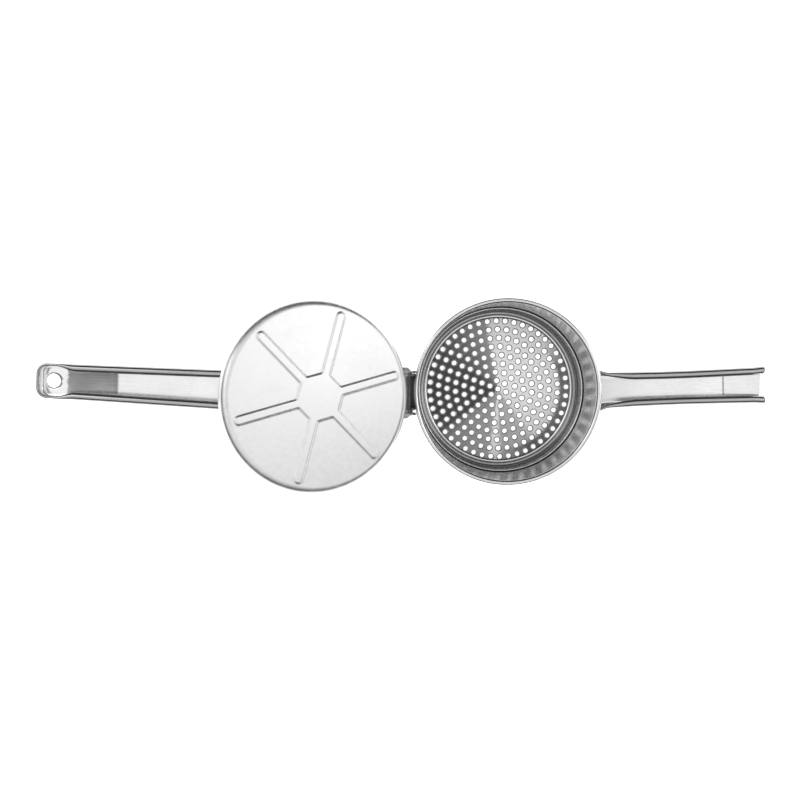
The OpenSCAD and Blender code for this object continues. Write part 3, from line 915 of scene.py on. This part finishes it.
class RICER_OT_presser(bpy.types.Operator):
    """Adds the presser with its pressed star and finishes its bracket"""
    bl_idname = "ricer.add_presser"
    bl_label = "Presser"

    def execute(self, context):
        look = looks()
        metal = steel("Satin presser steel", look.satin, look.satin_rough,
                      (420.0, 420.0, 420.0), False, shade=0.84, clouds=45.0)
        piece = put_mesh("presser_face", *presser_shell(sizes()), "presser", "satin_steel", metal)
        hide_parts("presser_plate")
        plain = steel("Presser bracket steel", look.presser_bracket, 0.3, (900.0, 900.0, 60.0),
                      False)
        finish_cad(["presser_bracket"], plain)
        return {"FINISHED"}


class RICER_OT_pins(bpy.types.Operator):
    """Finishes the pins, washers and sleeves"""
    bl_idname = "ricer.finish_pins"
    bl_label = "Pins"

    def execute(self, context):
        # Painted shade: the pins and washers are darkened steel.
        metal = steel("Turned pin steel", looks().pins, 0.28, (1200.0, 40.0, 1200.0), False)
        finish_cad([name for name in frame["nodes"] if name.startswith(("hinge_", "pivot_"))
                    and name != "hinge_bracket"], metal)
        return {"FINISHED"}


class RICER_OT_stage(bpy.types.Operator):
    """Adds the floor, the lights and the camera"""
    bl_idname = "ricer.add_stage"
    bl_label = "Stage"

    def execute(self, context):
        add_floor()
        add_world()
        add_lights()
        add_camera()
        return {"FINISHED"}


def add_floor():
    """A large white floor just under the cup."""
    size, level = 30.0, CAD_BOUNDS[0][2] - 0.0002
    mesh = bpy.data.meshes.new("floor")
    mesh.from_pydata([(-size, -size, level), (size, -size, level), (size, size, level),
                      (-size, size, level)], [], [(0, 1, 2, 3)])
    floor = bpy.data.objects.new("floor", mesh)
    bpy.context.scene.collection.objects.link(floor)
    white = bpy.data.materials.new("White floor")
    white.use_nodes = True
    shader = white.node_tree.nodes["Principled BSDF"]
    shader.inputs["Base Color"].default_value = (*looks().floor, 1.0)
    shader.inputs["Roughness"].default_value = 0.9
    shader.inputs["Emission Color"].default_value = (1.0, 1.0, 1.0, 1.0)
    shader.inputs["Emission Strength"].default_value = 0.85
    mesh.materials.append(white)


def add_world():
    """A light tent: bright overhead, dark towards the horizon, with a dark gap overhead that
    the steel mirrors."""
    world = bpy.data.worlds.new("Light tent")
    bpy.context.scene.world = world
    world.use_nodes = True
    tree = world.node_tree
    place = node(tree, "ShaderNodeTexCoord")
    apart = node(tree, "ShaderNodeSeparateXYZ")
    tree.links.new(place.outputs["Generated"], apart.inputs[0])
    x, y, z = (apart.outputs[axis] for axis in "XYZ")
    aside = maths(tree, "ABSOLUTE", y)
    tipped = maths(tree, "SUBTRACT", z, maths(tree, "MULTIPLY", y, 0.1))
    height = maths(tree, "SUBTRACT", tipped, maths(tree, "MULTIPLY", aside, 0.35))
    sky = grey_ramp(tree, height, (0.0, 0.03), (0.3, 0.10), (0.5, 0.38), (0.66, 0.92), (1.0, 1.0))
    middle, half_length, length_end, half_width, width_end = 0.09, 0.11, 0.15, 0.06, 0.12
    from_middle = maths(tree, "ABSOLUTE", maths(tree, "SUBTRACT", x, middle))
    gap = maths(tree, "MULTIPLY", spread(tree, from_middle, half_length, length_end, 1, 0),
                spread(tree, aside, half_width, width_end, 1, 0))
    light = maths(tree, "SUBTRACT", 1.0, maths(tree, "MULTIPLY", gap, 0.96))
    tree.links.new(maths(tree, "MULTIPLY", sky, light), tree.nodes["Background"].inputs["Color"])
    tree.nodes["Background"].inputs["Strength"].default_value = 1.0


def add_lights():
    """Two long soft boxes, one on each side."""
    for name, place, size, power in (("Left box", (-0.9, 0.5, 0.9), (0.5, 1.0), 1.6),
                                     ("Right box", (1.0, 0.2, 0.8), (0.5, 1.0), 1.75)):
        data = bpy.data.lights.new(name, "AREA")
        data.shape, data.size, data.size_y, data.energy = "RECTANGLE", size[0], size[1], power
        lamp = bpy.data.objects.new(name, data)
        bpy.context.scene.collection.objects.link(lamp)
        lamp.location = place
        lamp.rotation_euler = (-Vector(place)).to_track_quat("-Z", "Y").to_euler()


def add_camera():
    """A camera straight above, a little nearer the presser, that looks almost down."""
    data = bpy.data.cameras.new("Camera")
    data.sensor_width, data.lens = 36.0, 33.88
    camera = bpy.data.objects.new("Camera", data)
    bpy.context.scene.collection.objects.link(camera)
    nod, sway, roll = (math.radians(a) for a in (-2.971, 0.834, 0.084))
    turn = (Matrix.Rotation(roll, 4, "Z") @ Matrix.Rotation(sway, 4, "Y")
            @ Matrix.Rotation(nod, 4, "X"))
    camera.matrix_world = Matrix.Translation((-0.04559, 0.01461, 0.39675)) @ turn
    bpy.context.scene.camera = camera
    bpy.context.scene.view_settings.view_transform = "Standard"


class RICER_PT_panel(bpy.types.Panel):
    """Lists the steps in the 3D view's sidebar"""
    bl_label = "Potato ricer"
    bl_idname = "RICER_PT_panel"
    bl_space_type = "VIEW_3D"
    bl_region_type = "UI"
    bl_category = "Ricer"

    def draw(self, context):
        for step in STEPS:
            self.layout.operator(step.bl_idname)


STEPS = (RICER_OT_stage, RICER_OT_cup, RICER_OT_sieve, RICER_OT_lower_handle,
         RICER_OT_upper_handle, RICER_OT_presser, RICER_OT_pins)
CLASSES = (RicerSizes, RicerLooks, RICER_PT_panel) + STEPS


def register():
    for entry in CLASSES:
        bpy.utils.register_class(entry)
    bpy.types.Scene.ricer_sizes = PointerProperty(type=RicerSizes)
    bpy.types.Scene.ricer_looks = PointerProperty(type=RicerLooks)


def unregister():
    del bpy.types.Scene.ricer_looks
    del bpy.types.Scene.ricer_sizes
    for entry in reversed(CLASSES):
        bpy.utils.unregister_class(entry)


def main():
    register()
    for step in STEPS:
        group, name = step.bl_idname.split(".")
        getattr(getattr(bpy.ops, group), name)()


if __name__ == "__main__":
    main()
